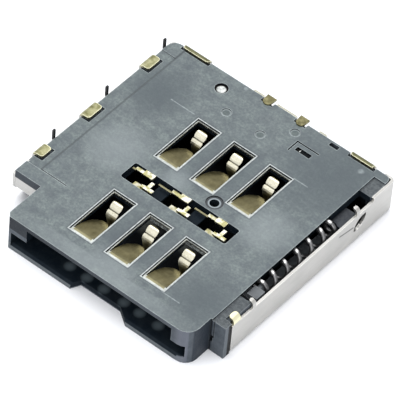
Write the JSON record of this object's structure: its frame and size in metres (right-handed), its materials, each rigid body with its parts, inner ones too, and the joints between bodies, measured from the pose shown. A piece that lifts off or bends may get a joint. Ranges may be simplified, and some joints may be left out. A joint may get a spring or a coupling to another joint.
{
  "type": "sim card socket",
  "caption": "Flat push-push SIM card socket with a black moulded housing, a folded metal cover, gilt spring contacts in windows and a spring-loaded card slider.",
  "frame": {"origin": "on the cover's outer face, under the middle of the grid of signal contacts", "axes": "+X along a row of contacts, +Y the way the card goes in, +Z out of the solder face"},
  "size_m": [0.0158, 0.0166, 0.003],
  "materials": {
    "moulded_black": "moulded, slightly rough",
    "moulded_sled": "moulded",
    "plated_steel": "satin plated sheet",
    "spring_steel": "drawn wire",
    "gold_plate": "thin gold plate over copper alloy"
  },
  "bodies": {
    "socket": {"housing": "moulded_black", "cover": "plated_steel", "contact_front_left": "gold_plate", "contact_front_middle": "gold_plate", "contact_front_right": "gold_plate", "contact_back_left": "gold_plate", "contact_back_middle": "gold_plate", "contact_back_right": "gold_plate", "spring": "spring_steel", "detect_contact": "gold_plate", "detect_blade": "gold_plate"},
    "sled": {"slider": "moulded_sled"},
    "latch_pin": {"cam_pin": "spring_steel"}
  },
  "joints": [
    {"name": "card_slide", "type": "slide", "parent": "socket", "child": "sled", "axis": [0, 1, 0], "range_m": [0, 0.0036], "stiffness_N_per_m": 200, "springref_m": -0.002, "deforming": ["spring"]},
    {"name": "pin_swing", "type": "hinge", "parent": "socket", "child": "latch_pin", "pos_m": [0.00686, 0.0088, 0.0005], "axis": [0, 0, 1], "range_deg": [-6.5, 0]}
  ]
}
